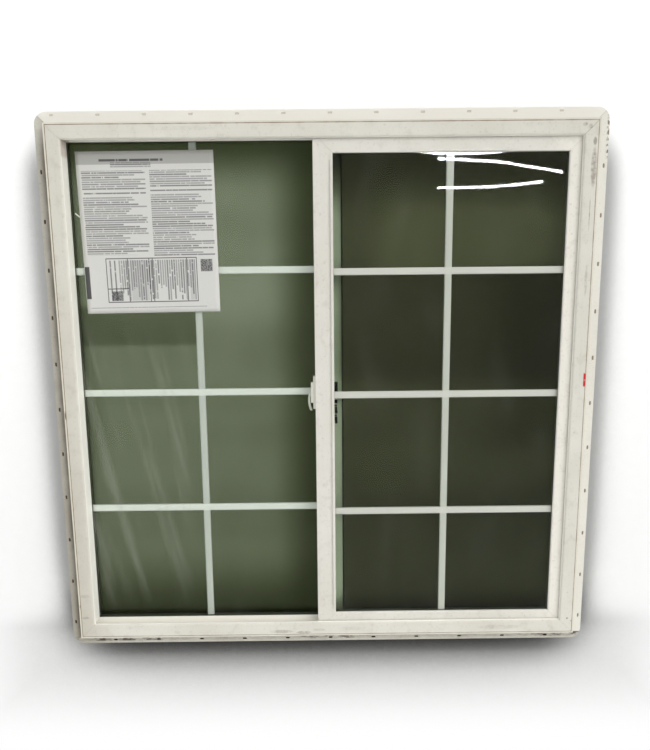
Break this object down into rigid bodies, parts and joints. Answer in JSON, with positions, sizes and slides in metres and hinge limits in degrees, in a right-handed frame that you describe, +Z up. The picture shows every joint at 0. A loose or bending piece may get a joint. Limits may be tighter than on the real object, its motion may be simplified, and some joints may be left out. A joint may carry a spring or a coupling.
{
  "type": "horizontal sliding window",
  "caption": "Two-lite horizontal sliding window with a slotted nail fin: fixed pane left, sliding sash right, flat grilles inside the glass and a half screen behind.",
  "frame": {"origin": "on the room-side face of the nail fin, in the middle of the fin below the sill", "axes": "+X across the window to the right as seen from the room, +Y out to the weather side, +Z up"},
  "size_m": [1.2604, 0.0667, 1.2605],
  "materials": {
    "frame_vinyl": "satin, lightly soiled",
    "sash_vinyl": "satin",
    "clear_glass": "polished",
    "spacer_metal": "matte",
    "grille_white": "satin",
    "block_rubber": "matte",
    "brush_pile": "fibrous",
    "latch_white": "satin",
    "housing_plastic": "matte",
    "roller_plastic": "smooth",
    "screen_bar": "satin",
    "screen_mesh": "woven, open"
  },
  "bodies": {
    "root": {"fixed_glass_inner": "clear_glass", "fixed_glass_outer": "clear_glass", "fixed_grille": "grille_white", "fixed_meeting_rail": "frame_vinyl", "fixed_setting_blocks": "block_rubber", "fixed_spacer": "spacer_metal", "frame_head": "frame_vinyl", "frame_jamb_left": "frame_vinyl", "frame_jamb_right": "frame_vinyl", "frame_sill": "frame_vinyl", "head_lift_blocks": "block_rubber", "latch_case": "latch_white", "latch_lever": "latch_white", "latch_plate": "latch_white", "meeting_rail_pile": "brush_pile", "sash_bead_bottom": "sash_vinyl", "sash_bead_left": "sash_vinyl", "sash_bead_right": "sash_vinyl", "sash_bead_top": "sash_vinyl", "sash_bottom_rail": "sash_vinyl", "sash_glass_inner": "clear_glass", "sash_glass_outer": "clear_glass", "sash_grille": "grille_white", "sash_jamb_stile": "sash_vinyl", "sash_meeting_stile": "sash_vinyl", "sash_pile_head": "brush_pile", "sash_pile_jamb": "brush_pile", "sash_pile_sill": "brush_pile", "sash_pull_strip": "sash_vinyl", "sash_roller_housing_left": "housing_plastic", "sash_roller_housing_right": "housing_plastic", "sash_roller_left": "roller_plastic", "sash_roller_right": "roller_plastic", "sash_setting_blocks": "block_rubber", "sash_spacer": "spacer_metal", "sash_top_rail": "sash_vinyl", "screen_bar_bottom": "screen_bar", "screen_bar_left": "screen_bar", "screen_bar_right": "screen_bar", "screen_bar_top": "screen_bar", "screen_mesh": "screen_mesh"}
  },
  "joints": []
}
